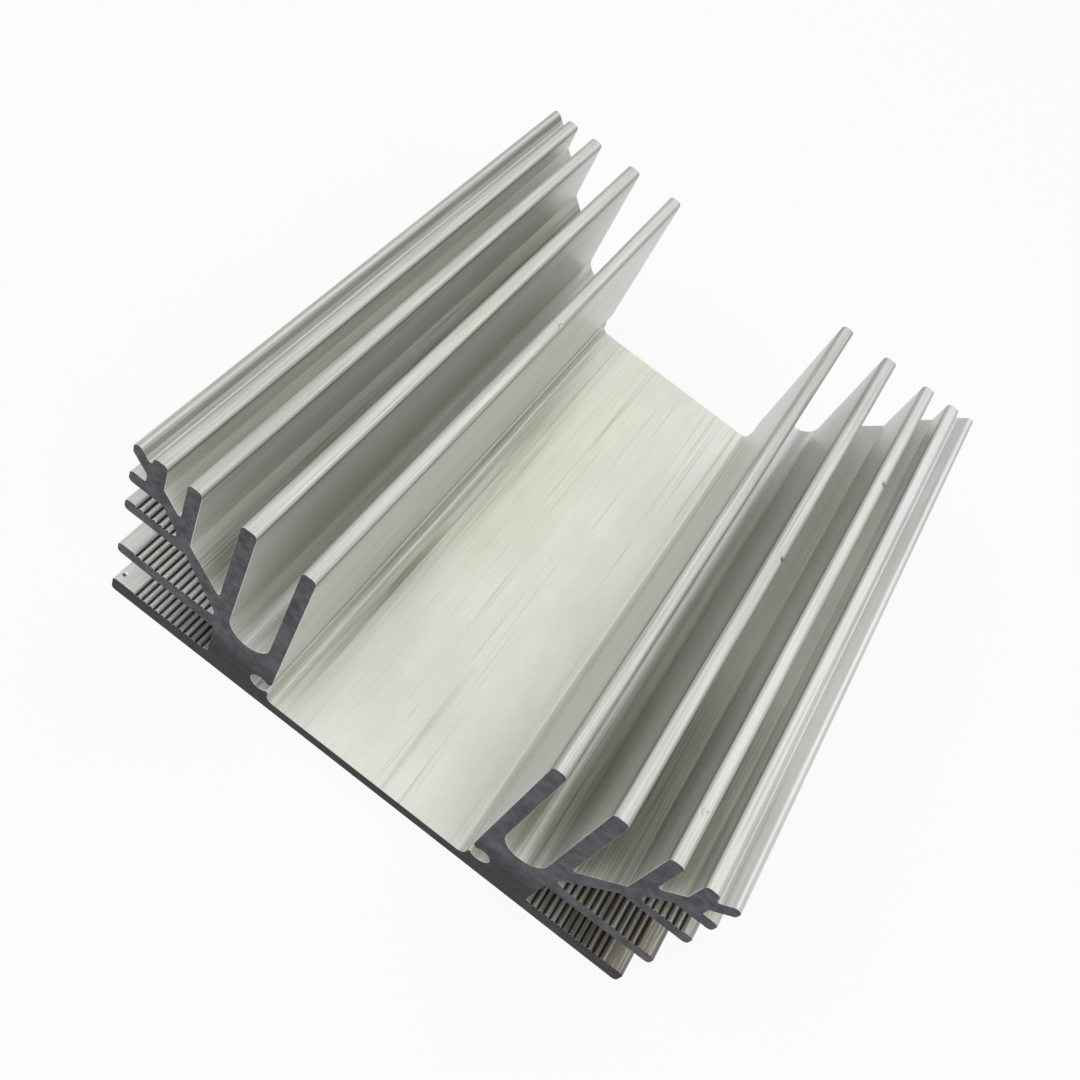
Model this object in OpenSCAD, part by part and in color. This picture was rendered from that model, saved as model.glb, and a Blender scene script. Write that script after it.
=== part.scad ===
// Extruded aluminium heat sink: one cut length of a symmetrical section.
// A flat-bottomed channel takes the device. On each side of it stands a tree:
// a core with a screw port, a branching arm, four upright fins, a forked end
// and three side fins whose upper faces are serrated.
// X runs across the section, Y along the extrusion, Z up from the flat underside.
// Widths add up from the centre plane out and heights from the underside up, so
// the overall 120.6 x 47.6 mm follows from the sizes of the fins and gaps.

/* [Length] */
// Length of the cut piece along the extrusion
length = 139.7; // [30:0.1:300]

/* [Channel] */
// Clear width of the channel between the two inner fins
channel_w = 46.7; // [20:0.1:100]
// Thickness of the channel floor
floor_t = 2.8; // [2:0.1:8]
// Radius in the two bottom corners of the channel
channel_r = 1.6; // [0.5:0.1:2]

/* [Upright fins] */
// Thickness of the first fin, beside the channel
fin1_t = 3; // [2.2:0.05:5]
// Thickness of the second fin
fin2_t = 3.3; // [2.2:0.05:5]
// Thickness of the third fin
fin3_t = 3; // [2.2:0.05:5]
// Thickness of the fourth fin, at the fork
fin4_t = 2.8; // [2.2:0.05:5]
// Clear gap between the first and second fins
gap12 = 8.9; // [5:0.05:14]
// Clear gap between the second and third fins
gap23 = 7.75; // [5:0.05:11]
// Clear gap between the third and fourth fins
gap34 = 3.95; // [2.5:0.05:6]
// Height of the round-bottomed valley between the first and second fins
valley12_z = 15.4; // [12:0.1:24]

/* [Side fins] */
// Thickness of the bottom side fin, flush with the underside
side1_t = 4; // [2.2:0.1:8]
// Thickness of the middle side fin at its tip
side2_t = 3; // [2.2:0.05:5]
// How much the middle side fin thickens underneath towards its root
side2_taper = 0.8; // [0:0.1:2]
// Thickness of the upper side fin
side3_t = 3; // [2.2:0.05:5]
// Clear gap between the bottom and middle side fins
side_gap12 = 10; // [6:0.1:14]
// Clear gap between the middle and upper side fins
side_gap23 = 11.4; // [9:0.1:13.2]
// Clear gap between the upper side fin and the lower horn
side_gap34 = 5.6; // [3:0.1:8]
// Reach of the side fins and horns beyond the fourth upright fin
side_reach = 4.25; // [3.8:0.05:12]

/* [Core and arm] */
// How far the core's outer face lies inside the second fin's outer face
core_in = 0.9; // [0:0.1:2]
// Slope of the arm's upper face in the vees, in degrees
arm_angle = 46; // [42:1:52]
// Slope of the arm's underside, in degrees
under_angle = 51.5; // [46:0.5:54]
// Height of the upright face at the foot of each slope under the arm
foot_h = 1.3; // [0.8:0.1:2]
// How far each such foot lies outside the upright fin above it
foot_out = 0.15; // [0:0.05:1]
// Height of the arm from the foot of its slope to the vee of the second and third fins
arm23_h = 5.5; // [4.8:0.1:8]
// Height of the arm from the foot of its slope to the vee of the third and fourth fins
arm34_h = 4.5; // [3.5:0.1:6]

/* [Fork] */
// Thickness of the lower horn
horn_t = 3; // [2.2:0.05:5]
// Height of the fin tips above the lower horn
fork_h = 7.6; // [7:0.1:16]
// Depth of the mouth between the two horns
mouth_d = 3.3; // [1.5:0.1:3.8]
// Height of the mouth at its inner end
mouth_h = 2; // [1:0.1:2.6]
// Depth of the notch between the fourth fin and the upper horn
notch_d = 2.3; // [1:0.1:2.8]
// Distance of the notch's bottom from the fourth fin's outer face
notch_in = 0.5; // [0.2:0.1:1]

/* [Edges] */
// Radius on every free edge of the section
tip_r = 0.95; // [0.2:0.05:1.05]
// Radius in every inner corner of the section
root_r = 0.4; // [0.1:0.05:0.8]

/* [Serrations] */
// Pitch of the grooves on the side fins
groove_pitch = 1.43; // [1.2:0.01:2.5]
// Width of one groove at its mouth
groove_w = 1.1; // [0.6:0.05:1.15]
// Depth of the grooves
groove_d = 0.65; // [0.3:0.05:0.9]
// Plain land from the tip to the first groove of the bottom side fin
land1 = 5.05; // [2:0.05:10]
// Plain land from the tip to the first groove of the middle side fin
land2 = 3.6; // [2:0.05:10]
// Plain land from the tip to the first groove of the upper side fin
land3 = 2.15; // [2:0.05:8]

/* [Screw ports] */
// Diameter of the ports for thread-forming screws
port_d = 4.1; // [3:0.1:4.6]
// Distance of the port's axis behind the channel wall
port_in = 2.4; // [1.8:0.1:3.5]
// Height of the port's axis above the channel floor
port_up = 4; // [2.8:0.1:6]
// Width of the slot that opens each port into the channel
port_slot = 2.5; // [0.6:0.1:2.8]
// Height of the slot's middle above the port's axis
slot_up = 0.3; // [0:0.1:0.8]

/* [Hidden] */

aluminium = [0.80, 0.81, 0.79];
over = 5;              // how far a cutting shape runs past the metal
arc_steps = 28;        // steps in a full circle of a rounded corner

// inner and outer faces of the upright fins, measured from the centre plane
fin1_in = channel_w / 2;
fin1_out = fin1_in + fin1_t;
fin2_in = fin1_out + gap12;
fin2_out = fin2_in + fin2_t;
fin3_in = fin2_out + gap23;
fin3_out = fin3_in + fin3_t;
fin4_in = fin3_out + gap34;
fin4_out = fin4_in + fin4_t;
half_w = fin4_out + side_reach;
// lower and upper faces of the side fins and of the lower horn
side2_z = side1_t + side_gap12;
side2_top = side2_z + side2_t;
side3_z = side2_top + side_gap23;
side3_top = side3_z + side3_t;
horn_z = side3_top + side_gap34;
horn_top = horn_z + horn_t;
height = horn_top + fork_h;
// where the gaps between the side fins end
core_x = fin2_out - core_in;
foot23_x = fin2_out + foot_out;
foot34_x = fin3_out + foot_out;
// lowest points of the two vees
valley23_z = side2_top + foot_h + arm23_h;
valley34_z = side3_top + foot_h + arm34_h;

// Both halves of a shape drawn for the right half.
module both_sides() {
    children();
    mirror([1, 0]) children();
}

// Half of the device channel, open at the top, with a rounded bottom corner.
module half_channel() {
    translate([0, floor_t]) {
        square([fin1_in - channel_r, height]);
        translate([0, channel_r]) square([fin1_in, height]);
        translate([fin1_in - channel_r, channel_r]) circle(channel_r, $fn = 48);
    }
}

// The valley between the first and second fins, with a full-round bottom.
module round_valley() {
    r = gap12 / 2;
    translate([fin1_out + r, valley12_z + r]) circle(r, $fn = 48);
    translate([fin1_out, valley12_z + r]) square([gap12, height]);
}

// A valley whose bottom is the arm's sloping upper face.
module vee_valley(x, gap, z) {
    rise = gap * tan(arm_angle);
    polygon([[x, z], [x + gap, z + rise], [x + gap, height + over], [x, height + over]]);
}

// The notch between the fourth fin and the upper horn.
module fork_notch() {
    bottom = [fin4_out + notch_in, height - notch_d];
    spread = notch_d + over;
    polygon([bottom, bottom + [spread, spread], bottom + [-notch_in, spread],
             bottom + [-notch_in, notch_d]]);
}

// The mouth between the two horns, widening outwards under the upper horn.
module fork_mouth() {
    x = half_w - mouth_d;
    run = mouth_d + over;
    polygon([[x, horn_top], [x + run, horn_top], [x + run, horn_top + mouth_h + run],
             [x, horn_top + mouth_h]]);
}

// The gap between the bottom and middle side fins.
module lower_side_gap() {
    polygon([[core_x, side1_t], [half_w + over, side1_t], [half_w + over, side2_z],
             [half_w, side2_z], [core_x, side2_z - side2_taper]]);
}

// A gap between two side fins that ends at the slope under the arm.
module sloped_side_gap(x, z, gap) {
    run = (gap - foot_h) / tan(under_angle);
    polygon([[x, z], [half_w + over, z], [half_w + over, z + gap], [x + run, z + gap],
             [x, z + foot_h]]);
}

// One row of grooves cut down into a side fin's upper face.
module serrations(top_z, land, inner_x) {
    first = half_w - land - groove_w / 2;
    count = floor((first - inner_x) / groove_pitch - 0.5) + 1;
    for (i = [0 : 1 : count - 1])
        translate([first - i * groove_pitch, top_z])
            polygon([[0, -groove_d], [groove_w / 2, 0], [groove_w / 2, groove_d],
                     [-groove_w / 2, groove_d], [-groove_w / 2, 0]]);
}

// The slot that opens a screw port into the channel.
module port_mouth() {
    translate([fin1_in - over, floor_t + port_up + slot_up - port_slot / 2])
        square([over + port_in, port_slot]);
}

// The bore of a screw port.
module screw_port() {
    translate([fin1_in + port_in, floor_t + port_up]) circle(d = port_d, $fn = 48);
}

// The section before its grooves and bores, with sharp corners.
module sharp_section() {
    difference() {
        translate([-half_w, 0]) square([2 * half_w, height]);
        both_sides() {
            half_channel();
            port_mouth();
            round_valley();
            vee_valley(fin2_out, gap23, valley23_z);
            vee_valley(fin3_out, gap34, valley34_z);
            fork_notch();
            fork_mouth();
            lower_side_gap();
            sloped_side_gap(foot23_x, side2_top, side_gap23);
            sloped_side_gap(foot34_x, side3_top, side_gap34);
        }
    }
}

// The whole section: free edges and inner corners rounded, grooves and bores cut.
module section() {
    difference() {
        offset(r = -root_r, $fn = arc_steps) offset(delta = root_r)
            offset(r = tip_r, $fn = arc_steps) offset(delta = -tip_r)
                sharp_section();
        both_sides() {
            serrations(side1_t, land1, core_x);
            serrations(side2_top, land2, foot23_x);
            serrations(side3_top, land3, foot34_x);
            screw_port();
        }
    }
}

module heat_sink() {
    color(aluminium)
        rotate([90, 0, 0]) linear_extrude(length, center = true) section();
}

heat_sink();
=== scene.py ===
"""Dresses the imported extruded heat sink: mill-finished aluminium with sawn ends and a few marks of use.

It is laid out as an add-on. One operator makes the extrusion, one makes the stage.
"""

import math

import bmesh
import bpy
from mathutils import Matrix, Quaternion, Vector


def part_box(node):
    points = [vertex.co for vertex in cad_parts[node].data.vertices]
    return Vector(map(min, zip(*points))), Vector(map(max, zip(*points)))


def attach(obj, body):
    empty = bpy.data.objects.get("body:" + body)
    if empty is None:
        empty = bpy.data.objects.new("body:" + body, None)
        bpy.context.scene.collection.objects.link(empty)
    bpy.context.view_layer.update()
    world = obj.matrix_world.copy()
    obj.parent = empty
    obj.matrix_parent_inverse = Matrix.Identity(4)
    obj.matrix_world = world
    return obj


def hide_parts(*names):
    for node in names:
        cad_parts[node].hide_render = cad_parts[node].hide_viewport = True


bl_info = {
    "name": "Extruded Heat Sink",
    "version": (1, 0, 0),
    "blender": (4, 5, 0),
    "location": "View3D > Sidebar > Heat Sink",
    "description": "Mill-finished aluminium extrusion with sawn ends, on a pale studio floor",
    "category": "Object",
}

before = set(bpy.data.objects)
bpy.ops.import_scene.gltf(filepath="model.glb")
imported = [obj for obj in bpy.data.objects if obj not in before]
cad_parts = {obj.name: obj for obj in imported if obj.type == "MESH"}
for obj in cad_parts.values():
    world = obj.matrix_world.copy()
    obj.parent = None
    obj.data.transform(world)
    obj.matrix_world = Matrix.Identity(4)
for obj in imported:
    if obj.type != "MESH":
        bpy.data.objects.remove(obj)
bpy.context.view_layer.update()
NODE = "heat_sink"
LOW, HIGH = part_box(NODE)
MM = 0.001
WHITE = (1.0, 1.0, 1.0, 1.0)

# Points nearer than this are one, and faces that differ by less than this angle are one face.
MERGE_GAP = 0.002 * MM
FLAT_ANGLE = math.radians(0.05)
# Inner corners sharper than this are the bottoms of the grooves.
GROOVE_ANGLE = math.radians(60)
# Edges sharper than this stay sharp in the shading.
SHARP_ANGLE = math.radians(24)
# A dent's grid has this many steps each way. Lengths under DUST count as nothing.
DENT_CUTS = 6
DUST = 0.0005 * MM

# Painted shade: a darker line on both sides of each fin's tip, where its rounding turns from the
# light. Its height, its shade, and where it ends, at the right fork.
TIP_LINE = 0.9 * MM
TIP_SHADE = 0.55
FIN_EDGE = 56.3 * MM
# Width and length of the faint clouds on the drawn metal.
CLOUD_SIZE = (12 * MM, 30 * MM)
# Each pattern of streaks starts at its own place, so that no two lie on each other.
LINES_START = (5.3, 2.1, 8.7)
BANDS_START = (3.1, 0.7, 1.9)
CLOUDS_START = (7.7, 4.4, 2.2)
# Sawn ends: patches to the metre, saw lines to the metre along X, Y and Z, depth of both, and the
# heights between which the painted shade at their foot fades.
MOTTLE_SCALE = 420.0
SAW_LINE_SCALE = (60.0, 60.0, 3500.0)
SAW_DEPTH = 0.05 * MM
PAINTED_FOOT_SHADE = (8 * MM, 14 * MM)
# Smudges and patches of painted shade: centre and reach in millimetres along X, Y and Z, and the tint at
# the centre.
SMUDGES_AND_SHADE = (
    ((-19.5, -38.0, 2.8), (1.4, 30.0, 3.0), (0.50, 0.49, 0.45)),
    # Painted shade, with some smudging: the channel floor darker towards the left wall, which shades it.
    ((-21.0, 10.0, 2.8), (8.0, 110.0, 3.0), (0.72, 0.71, 0.66)),
    ((-8.0, 30.0, 2.8), (14.0, 90.0, 3.0), (0.95, 0.95, 0.88)),
    ((0.0, 0.0, 2.8), (60.0, 300.0, 3.0), (0.97, 0.98, 0.93)),
    # Painted shade: a dark line under the upper lip of the left screw port's slot.
    ((-23.35, -20.0, 9.9), (1.5, 300.0, 1.2), (0.28, 0.28, 0.26)),
    ((4.0, -55.0, 2.8), (1.0, 22.0, 3.0), (0.80, 0.80, 0.78)),
    # Painted shade: the right-hand fins darker and browner near the front, where less light reaches them.
    ((56.0, -66.0, 10.0), (36.0, 70.0, 40.0), (0.32, 0.30, 0.245)),
    # A darker patch low on the left, near the front end.
    ((-36.0, -69.0, 4.0), (14.0, 30.0, 16.0), (0.40, 0.40, 0.42)),
    # Painted shade: the fins' upper ends dimmed, left and right, to tone down their highlight.
    ((-70.0, 0.0, 47.6), (130.0, 700.0, 6.0), (0.80, 0.80, 0.785)),
    ((30.0, 0.0, 47.6), (28.0, 700.0, 6.0), (0.76, 0.76, 0.745)),
    # Painted shade: the slope of a vee between two left fins dimmed, to tone down its highlight.
    ((-42.4, 10.0, 27.8), (4.6, 300.0, 4.6), (0.55, 0.55, 0.53)),
)
# Dents: centre, reach and push in millimetres along X, Y and Z, and how dark each one is.
DENTS = (
    ((48.9, 33.0, 47.4), (0.9, 0.9, 0.9), (-0.3, 0.0, -0.5), 0.8),
    ((49.3, 33.3, 45.0), (0.6, 0.7, 2.2), (-0.2, 0.0, 0.0), 0.6),
    ((47.6, -59.3, 47.6), (1.1, 0.9, 0.8), (0.0, 0.0, -0.3), 0.2),
    ((38.3, -2.8, 47.4), (0.8, 0.8, 0.8), (-0.3, 0.0, -0.3), 0.9),
    ((-59.1, -68.0, 4.0), (0.7, 0.7, 0.6), (0.0, 0.0, -0.4), 1.0),
    ((-24.0, 12.0, 47.5), (0.6, 0.9, 0.6), (-0.2, 0.0, -0.2), 0.3),
)

# Soft lamps: name, place and size in metres, and power in watts. All shine at one point.
LAMPS = (
    ("back_lamp", (0.08, 0.75, 0.95), (0.9, 1.0), 2.0),
    ("left_lamp", (-0.5, -0.35, 0.8), (0.6, 0.6), 2.4),
    ("right_lamp", (0.5, -0.35, 0.8), (0.6, 0.6), 1.8),
)
LAMP_AIM = (0.0, 0.0, 0.02)
# Strength of the studio walls at the horizon and overhead.
WALLS = (0.44, 0.48)
# The floor lies this far under the part.
FLOOR_GAP = 0.1 * MM
SENSOR_WIDTH = 36.0


class HeatSinkFinish(bpy.types.PropertyGroup):
    """Sizes and colours of the metal."""

    edge_break: bpy.props.FloatProperty(
        name="Edge Break",
        description="Width of the narrow bevel along every sawn edge",
        default=0.05 * MM, min=0.0, max=0.3 * MM, precision=5, unit="LENGTH", subtype="DISTANCE",
    )
    metal: bpy.props.FloatVectorProperty(
        name="Metal", description="Colour of the drawn aluminium",
        default=(0.91, 0.922, 0.895), min=0.0, max=1.0, size=3, subtype="COLOR",
    )
    warm_metal: bpy.props.FloatVectorProperty(
        name="Warm Metal", description="Colour of the slightly tarnished bands",
        default=(0.885, 0.895, 0.835), min=0.0, max=1.0, size=3, subtype="COLOR",
    )
    # The sawn ends are dark partly by their own dull sawn face and partly by painted shade, for the dark
    # surroundings they mirror.
    sawn: bpy.props.FloatVectorProperty(
        name="Sawn Face", description="Colour of the sawn ends",
        default=(0.055, 0.053, 0.061), min=0.0, max=1.0, size=3, subtype="COLOR",
    )
    sawn_pale: bpy.props.FloatVectorProperty(
        name="Sawn Face, Pale", description="Colour of the paler patches of the sawn ends",
        default=(0.155, 0.148, 0.165), min=0.0, max=1.0, size=3, subtype="COLOR",
    )
    roughness: bpy.props.FloatProperty(
        name="Roughness", description="Mean roughness of the drawn surfaces",
        default=0.35, min=0.0, max=1.0, subtype="FACTOR",
    )
    metallic: bpy.props.FloatProperty(
        name="Metallic", description="Share of the drawn surface that shines as bare metal",
        default=0.58, min=0.0, max=1.0, subtype="FACTOR",
    )
    # Painted shade at the bottom of the grooves; the same colour darkens the dents.
    groove_shade_and_dents: bpy.props.FloatVectorProperty(
        name="GrooveShadeAndDents", description="Colour at the bottom of the grooves and in the dents",
        default=(0.06, 0.058, 0.06), min=0.0, max=1.0, size=3, subtype="COLOR",
    )
    streak_pitch: bpy.props.FloatProperty(
        name="Streak Pitch", description="Spacing of the fine die streaks",
        default=0.5 * MM, min=0.1 * MM, max=5 * MM, precision=5, unit="LENGTH", subtype="DISTANCE",
    )
    streak_length: bpy.props.FloatProperty(
        name="Streak Length", description="Length over which a fine streak fades",
        default=30 * MM, min=5 * MM, max=500 * MM, unit="LENGTH", subtype="DISTANCE",
    )
    band_pitch: bpy.props.FloatProperty(
        name="Band Pitch", description="Spacing of the broad die bands",
        default=6 * MM, min=1 * MM, max=30 * MM, unit="LENGTH", subtype="DISTANCE",
    )
    streak_depth: bpy.props.FloatProperty(
        name="Streak Depth", description="Depth of the die streaks",
        default=0.012 * MM, min=0.0, max=0.1 * MM, precision=6, unit="LENGTH", subtype="DISTANCE",
    )


class HeatSinkStage(bpy.types.PropertyGroup):
    """Floor, lamps and camera."""

    floor_radius: bpy.props.FloatProperty(
        name="Floor Radius", description="Radius of the round floor",
        default=2.5, min=0.5, max=10.0, unit="LENGTH", subtype="DISTANCE",
    )
    floor: bpy.props.FloatVectorProperty(
        name="Floor", description="Colour of the floor",
        default=(0.85, 0.85, 0.85), min=0.0, max=1.0, size=3, subtype="COLOR",
    )
    floor_white: bpy.props.FloatProperty(
        name="Floor White", description="Share of plain white that is mixed into the floor",
        default=0.9, min=0.0, max=1.0, subtype="FACTOR",
    )
    azimuth: bpy.props.FloatProperty(
        name="Azimuth", description="Turn of the camera round the part",
        default=math.radians(3.831), unit="ROTATION", subtype="ANGLE",
    )
    elevation: bpy.props.FloatProperty(
        name="Elevation", description="Height of the camera above the horizon",
        default=math.radians(51.859), unit="ROTATION", subtype="ANGLE",
    )
    roll: bpy.props.FloatProperty(
        name="Roll", description="Turn of the camera about its own line of sight",
        default=math.radians(34.44), unit="ROTATION", subtype="ANGLE",
    )
    distance: bpy.props.FloatProperty(
        name="Distance", description="Distance of the camera from the point it aims at",
        default=261.21 * MM, min=0.05, unit="LENGTH", subtype="DISTANCE",
    )
    lens: bpy.props.FloatProperty(
        name="Lens", description="Focal length on a sensor 36 mm wide, in millimetres",
        default=38.784, min=10.0, max=200.0, unit="CAMERA",
    )
    aim: bpy.props.FloatVectorProperty(
        name="Aim", description="Point that the camera looks at",
        default=(-5.57 * MM, -2.48 * MM, 0.0), size=3, precision=5, unit="LENGTH", subtype="TRANSLATION",
    )
    shift: bpy.props.FloatVectorProperty(
        name="Shift", description="Shift of the view, as a share of its width",
        default=(0.0232, 0.0054), size=2, precision=4,
    )


# Nodes ------------------------------------------------------------------------------------


def new_material(name):
    """An empty node material with its output, and its tree."""
    material = bpy.data.materials.new(name)
    material.use_nodes = True
    tree = material.node_tree
    tree.nodes.clear()
    return material, tree


def add(tree, kind, inputs=None, **settings):
    """A node of one kind, with its settings and the values or links of its inputs."""
    made = tree.nodes.new("ShaderNode" + kind)
    for key, value in settings.items():
        setattr(made, key, value)
    for key, value in (inputs or {}).items():
        if isinstance(value, bpy.types.NodeSocket):
            tree.links.new(value, made.inputs[key])
        else:
            made.inputs[key].default_value = value
    return made


def colour(value):
    """A colour property as four numbers."""
    return (value[0], value[1], value[2], 1.0)


def math_node(tree, operation, a, b=0.0, clamp=False):
    """The result of one sum."""
    return add(tree, "Math", {0: a, 1: b}, operation=operation, use_clamp=clamp).outputs[0]


def spread(tree, value, low, high, to_low, to_high):
    """A value carried from one range into another, and kept inside it."""
    made = add(tree, "MapRange", {0: value, 1: low, 2: high, 3: to_low, 4: to_high})
    return made.outputs[0]


def stretched_noise(tree, coordinates, across, along, detail, offset=(0.0, 0.0, 0.0)):
    """Noise that is long along the extrusion and narrow across it."""
    place = add(tree, "Mapping", {
        "Vector": coordinates, "Location": offset, "Scale": (1 / across, 1 / along, 1 / across),
    })
    made = add(tree, "TexNoise", {
        "Vector": place.outputs[0], "Scale": 1.0, "Detail": detail, "Roughness": 0.55,
    }, noise_dimensions="3D")
    return made.outputs["Fac"]


def mix_colour(tree, share, a, b, mode="MIX"):
    """Two colours mixed by a share."""
    made = add(tree, "Mix", data_type="RGBA", blend_type=mode, clamp_result=True)
    for socket, value in zip((made.inputs[0], made.inputs[6], made.inputs[7]), (share, a, b)):
        if isinstance(value, bpy.types.NodeSocket):
            tree.links.new(value, socket)
        else:
            socket.default_value = value
    return made.outputs[2]


def darken(tree, base, share):
    """A colour turned down by a share from 0, black, to 1, as it is."""
    grey = add(tree, "CombineColor", {0: share, 1: share, 2: share}).outputs[0]
    return mix_colour(tree, 1.0, base, grey, "MULTIPLY")


def soft_spot(tree, coordinates, centre, reach):
    """A spot that fades from 1 at its centre to 0 at its reach, given in metres along X, Y and Z."""
    scale = tuple(1 / part for part in reach)
    place = add(tree, "Mapping", {
        "Vector": coordinates, "Scale": scale,
        "Location": tuple(-part * times for part, times in zip(centre, scale)),
    })
    return add(tree, "TexGradient", {0: place.outputs[0]}, gradient_type="SPHERICAL").outputs["Fac"]


def painted_tip_shade(tree, coordinates):
    """Painted shade beside the fins' tips, where their rounding turns from the light: TIP_SHADE there and
    1 everywhere else.
    """
    place = add(tree, "SeparateXYZ", {0: coordinates}).outputs
    below = math_node(tree, "SUBTRACT", HIGH.z, place["Z"])
    upper = spread(tree, below, 0.35 * TIP_LINE, 0.65 * TIP_LINE, 1.0, TIP_SHADE)
    lower = spread(tree, below, TIP_LINE, 1.4 * TIP_LINE, 0.0, 1.0)
    outside = spread(tree, place["X"], FIN_EDGE, FIN_EDGE + TIP_LINE, 0.0, 1.0)
    return math_node(tree, "MAXIMUM", upper, math_node(tree, "MAXIMUM", lower, outside))


def smudge_and_shade(tree, coordinates, base, fine, centre, reach, tint):
    """A colour with one tinted patch over it, thinner where the fine streaks stand proud; the patches are
    smudges and painted shade.
    """
    spot = soft_spot(tree, coordinates, [MM * part for part in centre], [MM * part for part in reach])
    patchy = math_node(tree, "MULTIPLY", spot, spread(tree, fine, 0.35, 0.6, 1.0, 0.4))
    share = spread(tree, patchy, 0.0, 0.6, 0.0, 1.0)
    return mix_colour(tree, share, base, colour(tint), "MULTIPLY")


def mill_aluminium(finish):
    """Drawn aluminium: long die streaks, broad bands and a dull satin gloss, with smudges, darker dents
    and painted shade.
    """
    material, tree = new_material("mill_aluminium")
    coordinates = add(tree, "TexCoord").outputs["Object"]
    pitch = finish.streak_pitch
    length = finish.streak_length
    fine = stretched_noise(tree, coordinates, pitch, length, 4.0)
    lines = stretched_noise(tree, coordinates, 1.5 * pitch, 2 * length, 1.0, LINES_START)
    broad = stretched_noise(tree, coordinates, finish.band_pitch, 4 * length, 2.0, BANDS_START)
    cloud = stretched_noise(tree, coordinates, *CLOUD_SIZE, 3.0, CLOUDS_START)
    strong = spread(tree, lines, 0.62, 0.70, 0.0, 1.0)
    drawn = math_node(tree, "MULTIPLY", strong, spread(tree, cloud, 0.4, 0.6, 0.2, 1.0))

    band = spread(tree, broad, 0.35, 0.65, 0.0, 1.0)
    base = mix_colour(tree, band, colour(finish.warm_metal), colour(finish.metal))
    base = darken(tree, base, spread(tree, fine, 0.3, 0.6, 0.90, 1.0))
    base = darken(tree, base, spread(tree, cloud, 0.35, 0.6, 0.93, 1.0))
    base = darken(tree, base, spread(tree, drawn, 0.0, 1.0, 1.0, 0.78))
    # Painted shade beside the fins' tips.
    base = darken(tree, base, painted_tip_shade(tree, coordinates))
    # Smudges, and patches of painted shade.
    for centre, reach, tint in SMUDGES_AND_SHADE:
        base = smudge_and_shade(tree, coordinates, base, fine, centre, reach, tint)
    # Painted shade along the groove bottoms, and darker dents.
    groove_and_dent_dark = add(tree, "Attribute", attribute_name="groove_shade_and_dents").outputs["Fac"]
    base = mix_colour(tree, spread(tree, groove_and_dent_dark, 0.2, 0.85, 0.0, 1.0), base, colour(finish.groove_shade_and_dents))

    rough = math_node(tree, "ADD", spread(tree, fine, 0.35, 0.65, -0.06, 0.06), finish.roughness)
    relief = math_node(tree, "ADD", fine, math_node(tree, "MULTIPLY", broad, 2.0))
    relief = math_node(tree, "SUBTRACT", relief, drawn)
    bump = add(tree, "Bump", {"Height": relief, "Strength": 1.0, "Distance": finish.streak_depth})
    shader = add(tree, "BsdfPrincipled", {
        "Base Color": base, "Metallic": finish.metallic, "Roughness": rough, "Normal": bump.outputs[0],
        "Specular IOR Level": 0.3, "Specular Tint": (0.7, 0.7, 0.7, 1.0),
    })
    add(tree, "OutputMaterial", {"Surface": shader.outputs[0]})
    return material


def sawn_aluminium(finish):
    """A sawn end: rough and mottled, with fine saw lines, dark partly by its own dull face and partly by
    painted shade.
    """
    material, tree = new_material("sawn_aluminium")
    coordinates = add(tree, "TexCoord").outputs["Object"]
    mottle = add(tree, "TexNoise", {
        "Vector": coordinates, "Scale": MOTTLE_SCALE, "Detail": 5.0, "Roughness": 0.68,
    }, noise_dimensions="3D").outputs["Fac"]
    place = add(tree, "Mapping", {"Vector": coordinates, "Scale": SAW_LINE_SCALE})
    lines = add(tree, "TexNoise", {
        "Vector": place.outputs[0], "Scale": 1.0, "Detail": 2.0, "Roughness": 0.5,
    }, noise_dimensions="3D").outputs["Fac"]
    share = spread(tree, mottle, 0.35, 0.7, 0.0, 1.0)
    base = mix_colour(tree, share, colour(finish.sawn), colour(finish.sawn_pale))
    height = add(tree, "SeparateXYZ", {0: coordinates}).outputs["Z"]
    # Painted shade: the sawn ends darker towards the foot, where they mirror the shaded floor.
    base = darken(tree, base, spread(tree, height, *PAINTED_FOOT_SHADE, 0.42, 1.0))
    rough = spread(tree, mottle, 0.3, 0.7, 0.5, 0.62)
    relief = math_node(tree, "ADD", lines, mottle)
    bump = add(tree, "Bump", {"Height": relief, "Strength": 1.0, "Distance": SAW_DEPTH})
    shader = add(tree, "BsdfPrincipled", {
        "Base Color": base, "Metallic": 1.0, "Roughness": rough, "Normal": bump.outputs[0],
    })
    add(tree, "OutputMaterial", {"Surface": shader.outputs[0]})
    return material


def floor_material(stage):
    """Pale floor that is seen as near white and still takes the part's shadow."""
    material, tree = new_material("studio_floor")
    path = add(tree, "LightPath").outputs
    seen = math_node(tree, "ADD", path["Is Camera Ray"], path["Is Glossy Ray"], clamp=True)
    seen = math_node(tree, "ADD", seen, path["Is Transmission Ray"], clamp=True)
    share = math_node(tree, "MULTIPLY", seen, stage.floor_white)
    plain = add(tree, "BsdfDiffuse", {"Color": colour(stage.floor)})
    white = add(tree, "Emission", {"Color": WHITE, "Strength": 1.0})
    mixed = add(tree, "MixShader", {0: share, 1: plain.outputs[0], 2: white.outputs[0]})
    add(tree, "OutputMaterial", {"Surface": mixed.outputs[0]})
    return material


# Shapes -----------------------------------------------------------------------------------


def put_in_scene(name, bm, materials):
    """A new object from a bmesh, at the origin."""
    mesh = bpy.data.meshes.new(name)
    bm.to_mesh(mesh)
    bm.free()
    for material in materials:
        mesh.materials.append(material)
    made = bpy.data.objects.new(name, mesh)
    bpy.context.scene.collection.objects.link(made)
    return made


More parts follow.
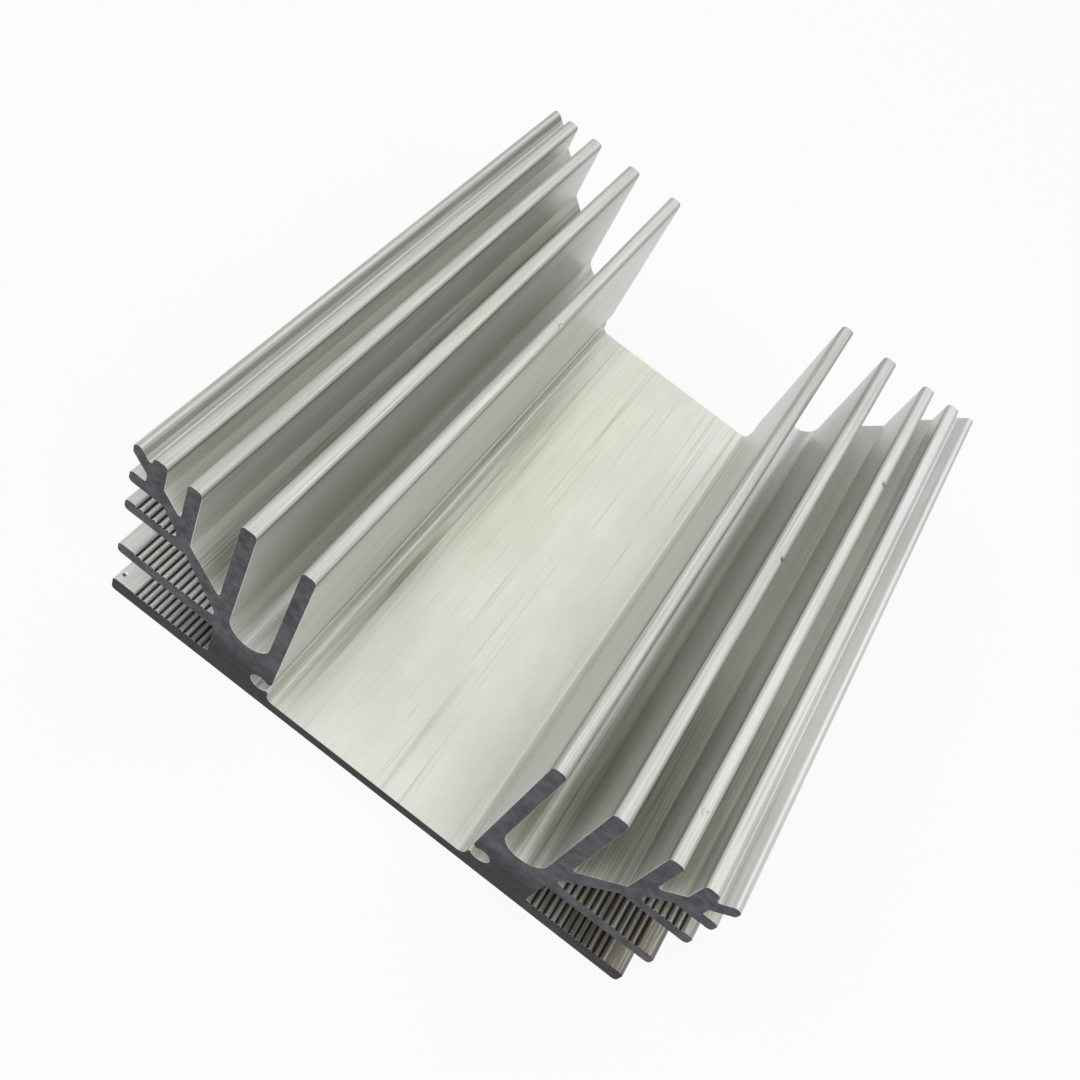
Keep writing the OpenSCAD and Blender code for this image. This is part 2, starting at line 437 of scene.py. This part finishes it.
def merged_copy(node):
    """A bmesh copy of a CAD node, with its triangles merged into whole faces."""
    bm = bmesh.new()
    bm.from_mesh(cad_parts[node].data)
    bmesh.ops.remove_doubles(bm, verts=bm.verts[:], dist=MERGE_GAP)
    bmesh.ops.dissolve_limit(
        bm, angle_limit=FLAT_ANGLE, use_dissolve_boundaries=False,
        verts=bm.verts[:], edges=bm.edges[:], delimit={"NORMAL"},
    )
    return bm


def is_end(face):
    """Whether a face is one of the two cut ends."""
    return abs(face.normal.y) > 0.9


def mark_groove_bottoms(bm, groove_shade_and_dents):
    """Marks the bottom line of every groove, the only sharp inner corners, for painted shade."""
    for edge in bm.edges:
        if edge.calc_face_angle_signed(0.0) < -GROOVE_ANGLE:
            for vert in edge.verts:
                vert[groove_shade_and_dents] = 1.0


def reaches_into(face, low, high):
    """Whether a face's own box reaches into the box between two corners."""
    for axis in range(3):
        places = [vert.co[axis] for vert in face.verts]
        if max(places) - min(places) < DUST:
            inside = low[axis] <= places[0] <= high[axis]
        else:
            inside = min(places) < high[axis] - DUST and max(places) > low[axis] + DUST
        if not inside:
            return False
    return True


def dent(bm, groove_shade_and_dents, centre, reach, push, dark):
    """Presses a small dent into the metal: cuts a fine grid round it, then moves its points."""
    low = centre - reach
    high = centre + reach
    for axis in (1, 0, 2):
        normal = Vector((0.0, 0.0, 0.0))
        normal[axis] = 1.0
        for step in range(DENT_CUTS + 1):
            place = low.copy()
            place[axis] += 2 * reach[axis] * step / DENT_CUTS
            faces = [f for f in bm.faces if reaches_into(f, low, high) and not is_end(f)]
            edges = dict.fromkeys(e for f in faces for e in f.edges)
            verts = dict.fromkeys(v for f in faces for v in f.verts)
            bmesh.ops.bisect_plane(
                bm, geom=[*verts, *edges, *faces], dist=DUST, plane_co=place, plane_no=normal,
            )
    for vert in bm.verts:
        apart = vert.co - centre
        share = math.sqrt(sum((apart[k] / reach[k]) ** 2 for k in range(3)))
        if share < 1.0:
            fall = (1.0 - share * share) ** 2
            vert.co += push * fall
            vert[groove_shade_and_dents] = max(vert[groove_shade_and_dents], dark * fall)


def break_sawn_edges(bm, width):
    """Gives each cut end a narrow bevel all round."""
    ends = [f for f in bm.faces if is_end(f)]
    bevel = bmesh.ops.inset_region(
        bm, faces=ends, thickness=width, depth=0.0, use_even_offset=True,
    )["faces"]
    inner = {v for f in ends for v in f.verts}
    for v in {v for f in bevel for v in f.verts} - inner:
        v.co.y -= math.copysign(width, v.co.y)
    bm.normal_update()


class HEATSINK_OT_extrusion(bpy.types.Operator):
    """Make the extrusion with its sawn ends"""

    bl_idname = "heatsink.extrusion"
    bl_label = "Extrusion"

    def execute(self, context):
        finish = context.scene.heat_sink_finish
        bm = merged_copy(NODE)
        bm.normal_update()
        ends = [f for f in bm.faces if is_end(f)]
        if len(ends) != 2:
            raise RuntimeError(f"the extrusion has {len(ends)} end faces and should have 2")
        # A layer for painted shade along the groove bottoms and for darker dents.
        groove_shade_and_dents = bm.verts.layers.float.new("groove_shade_and_dents")
        mark_groove_bottoms(bm, groove_shade_and_dents)
        break_sawn_edges(bm, finish.edge_break)
        for centre, reach, push, dark in DENTS:
            dent(bm, groove_shade_and_dents, Vector(centre) * MM, Vector(reach) * MM, Vector(push) * MM, dark)
        for face in bm.faces:
            face.material_index = 1 if is_end(face) else 0
            face.smooth = not is_end(face)
        for edge in bm.edges:
            edge.smooth = edge.calc_face_angle(0.0) < SHARP_ANGLE
        piece = put_in_scene("extrusion", bm, [mill_aluminium(finish), sawn_aluminium(finish)])
        weighted = piece.modifiers.new("even_shading", "WEIGHTED_NORMAL")
        weighted.keep_sharp = True
        weighted.weight = 50
        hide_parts(NODE)
        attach(piece, "root")
        return {"FINISHED"}


# Stage ------------------------------------------------------------------------------------


def soft_lamp(name, place, size, power):
    """A large soft lamp that shines at the part, and isn't itself in view."""
    light = bpy.data.lights.new(name, "AREA")
    light.shape = "RECTANGLE"
    light.size, light.size_y = size
    light.energy = power
    lamp = bpy.data.objects.new(name, light)
    bpy.context.scene.collection.objects.link(lamp)
    lamp.location = place
    lamp.rotation_mode = "QUATERNION"
    lamp.rotation_quaternion = (Vector(LAMP_AIM) - Vector(place)).to_track_quat("-Z", "Y")
    lamp.visible_camera = False


def add_camera(stage):
    """The camera, aimed at the part from the front and above."""
    data = bpy.data.cameras.new("studio_camera")
    data.lens = stage.lens
    data.sensor_width = SENSOR_WIDTH
    data.clip_start = 0.01
    data.clip_end = 50.0
    data.shift_x, data.shift_y = stage.shift
    camera = bpy.data.objects.new("studio_camera", data)
    bpy.context.scene.collection.objects.link(camera)
    level = math.cos(stage.elevation)
    back = Vector((
        math.sin(stage.azimuth) * level, -math.cos(stage.azimuth) * level, math.sin(stage.elevation),
    ))
    camera.location = Vector(stage.aim) + back * stage.distance
    camera.rotation_mode = "QUATERNION"
    roll = Quaternion((0.0, 0.0, 1.0), stage.roll)
    camera.rotation_quaternion = (-back).to_track_quat("-Z", "Y") @ roll
    bpy.context.scene.camera = camera


def add_world():
    """Even studio walls, a little paler overhead than at the horizon."""
    world = bpy.data.worlds.new("studio_walls")
    world.use_nodes = True
    tree = world.node_tree
    tree.nodes.clear()
    direction = add(tree, "TexCoord").outputs["Generated"]
    height = add(tree, "SeparateXYZ", {0: direction}).outputs["Z"]
    strength = spread(tree, height, 0.0, 0.6, *WALLS)
    background = add(tree, "Background", {"Color": WHITE, "Strength": strength})
    add(tree, "OutputWorld", {"Surface": background.outputs[0]})
    bpy.context.scene.world = world


class HEATSINK_OT_stage(bpy.types.Operator):
    """Make the floor, the lamps, the world and the camera"""

    bl_idname = "heatsink.stage"
    bl_label = "Stage"

    def execute(self, context):
        stage = context.scene.heat_sink_stage
        bm = bmesh.new()
        bmesh.ops.create_circle(bm, cap_ends=True, segments=64, radius=stage.floor_radius)
        bmesh.ops.translate(bm, verts=bm.verts[:], vec=(0.0, 0.0, LOW.z - FLOOR_GAP))
        put_in_scene("floor", bm, [floor_material(stage)])
        for name, place, size, power in LAMPS:
            soft_lamp(name, place, size, power)
        add_world()
        add_camera(stage)
        context.scene.view_settings.view_transform = "Standard"
        return {"FINISHED"}


class HEATSINK_PT_panel(bpy.types.Panel):
    """The part's operators and values in the sidebar"""

    bl_idname = "HEATSINK_PT_panel"
    bl_label = "Heat Sink"
    bl_space_type = "VIEW_3D"
    bl_region_type = "UI"
    bl_category = "Heat Sink"

    def draw(self, context):
        layout = self.layout
        for operator in (HEATSINK_OT_extrusion, HEATSINK_OT_stage):
            layout.operator(operator.bl_idname)
        for group in (context.scene.heat_sink_finish, context.scene.heat_sink_stage):
            box = layout.box()
            for name in group.__annotations__:
                box.prop(group, name)


CLASSES = (
    HeatSinkFinish, HeatSinkStage, HEATSINK_OT_extrusion, HEATSINK_OT_stage, HEATSINK_PT_panel,
)


def register():
    for cls in CLASSES:
        bpy.utils.register_class(cls)
    bpy.types.Scene.heat_sink_finish = bpy.props.PointerProperty(type=HeatSinkFinish)
    bpy.types.Scene.heat_sink_stage = bpy.props.PointerProperty(type=HeatSinkStage)


def unregister():
    del bpy.types.Scene.heat_sink_stage
    del bpy.types.Scene.heat_sink_finish
    for cls in reversed(CLASSES):
        bpy.utils.unregister_class(cls)


def main():
    """Makes the scene."""
    register()
    bpy.ops.heatsink.extrusion()
    bpy.ops.heatsink.stage()


if __name__ == "__main__":
    main()
